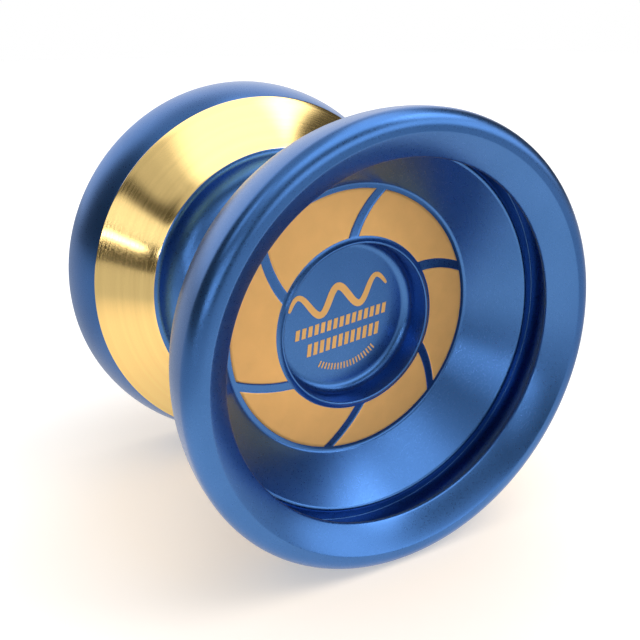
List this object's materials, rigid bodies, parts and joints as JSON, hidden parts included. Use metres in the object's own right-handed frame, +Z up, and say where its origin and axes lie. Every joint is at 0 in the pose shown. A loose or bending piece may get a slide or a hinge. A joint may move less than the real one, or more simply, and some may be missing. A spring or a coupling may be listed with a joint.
{
  "type": "yo-yo",
  "caption": "Aluminium yo-yo whose screwed-together halves spin freely on a shielded ball bearing, with deep dished faces and a flared string gap.",
  "frame": {"origin": "centre of the ball bearing, midway between the two halves", "axes": "+Y is the spin axis and points to the back half, the front half is at -Y, +Z is up and +X completes the right-handed frame"},
  "size_m": [0.056, 0.049, 0.056],
  "materials": {
    "anodised_body": "satin blue anodised aluminium with polished gold cones on the string side and a matte gold ring in each face",
    "axle_steel": "black-oxide alloy steel",
    "silicone": "matte silicone",
    "bearing_steel": "ground and polished stainless steel",
    "cage_brass": "plain brass",
    "shield_steel": "rolled stainless sheet",
    "spring_steel": "spring steel wire"
  },
  "bodies": {
    "bearing_race": {"bearing_outer_ring": "bearing_steel", "bearing_shield_front": "shield_steel", "bearing_shield_back": "shield_steel", "snap_ring_front": "spring_steel", "snap_ring_back": "spring_steel"},
    "spool": {"half_front": "anodised_body", "half_back": "anodised_body", "axle": "axle_steel", "response_pad_front": "silicone", "response_pad_back": "silicone", "bearing_inner_ring": "bearing_steel"},
    "cage": {"bearing_cage": "cage_brass"},
    "ball_1": {"ball_1": "bearing_steel"},
    "ball_2": {"ball_2": "bearing_steel"},
    "ball_3": {"ball_3": "bearing_steel"},
    "ball_4": {"ball_4": "bearing_steel"},
    "ball_5": {"ball_5": "bearing_steel"},
    "ball_6": {"ball_6": "bearing_steel"},
    "ball_7": {"ball_7": "bearing_steel"},
    "ball_8": {"ball_8": "bearing_steel"}
  },
  "joints": [
    {"name": "spin", "type": "hinge", "parent": "bearing_race", "child": "spool", "pos_m": [0, 0, 0], "axis": [0, 1, 0], "continuous": true},
    {"name": "cage_turn", "type": "hinge", "parent": "bearing_race", "child": "cage", "pos_m": [0, 0, 0], "axis": [0, 1, 0], "continuous": true},
    {"name": "ball_1_roll", "type": "hinge", "parent": "cage", "child": "ball_1", "pos_m": [0, 0, 0.00476], "axis": [0, 1, 0], "continuous": true},
    {"name": "ball_2_roll", "type": "hinge", "parent": "cage", "child": "ball_2", "pos_m": [0.00337, 0, 0.00337], "axis": [0, 1, 0], "continuous": true},
    {"name": "ball_3_roll", "type": "hinge", "parent": "cage", "child": "ball_3", "pos_m": [0.00476, 0, 0], "axis": [0, 1, 0], "continuous": true},
    {"name": "ball_4_roll", "type": "hinge", "parent": "cage", "child": "ball_4", "pos_m": [0.00337, 0, -0.00337], "axis": [0, 1, 0], "continuous": true},
    {"name": "ball_5_roll", "type": "hinge", "parent": "cage", "child": "ball_5", "pos_m": [0, 0, -0.00476], "axis": [0, 1, 0], "continuous": true},
    {"name": "ball_6_roll", "type": "hinge", "parent": "cage", "child": "ball_6", "pos_m": [-0.00337, 0, -0.00337], "axis": [0, 1, 0], "continuous": true},
    {"name": "ball_7_roll", "type": "hinge", "parent": "cage", "child": "ball_7", "pos_m": [-0.00476, 0, 0], "axis": [0, 1, 0], "continuous": true},
    {"name": "ball_8_roll", "type": "hinge", "parent": "cage", "child": "ball_8", "pos_m": [-0.00337, 0, 0.00337], "axis": [0, 1, 0], "continuous": true}
  ],
  "couplings": [
    {"joint": "cage_turn", "follows": "spin", "ratio": 0.41667},
    {"joint": "ball_1_roll", "follows": "spin", "ratio": -2.9167},
    {"joint": "ball_2_roll", "follows": "spin", "ratio": -2.9167},
    {"joint": "ball_3_roll", "follows": "spin", "ratio": -2.9167},
    {"joint": "ball_4_roll", "follows": "spin", "ratio": -2.9167},
    {"joint": "ball_5_roll", "follows": "spin", "ratio": -2.9167},
    {"joint": "ball_6_roll", "follows": "spin", "ratio": -2.9167},
    {"joint": "ball_7_roll", "follows": "spin", "ratio": -2.9167},
    {"joint": "ball_8_roll", "follows": "spin", "ratio": -2.9167}
  ]
}
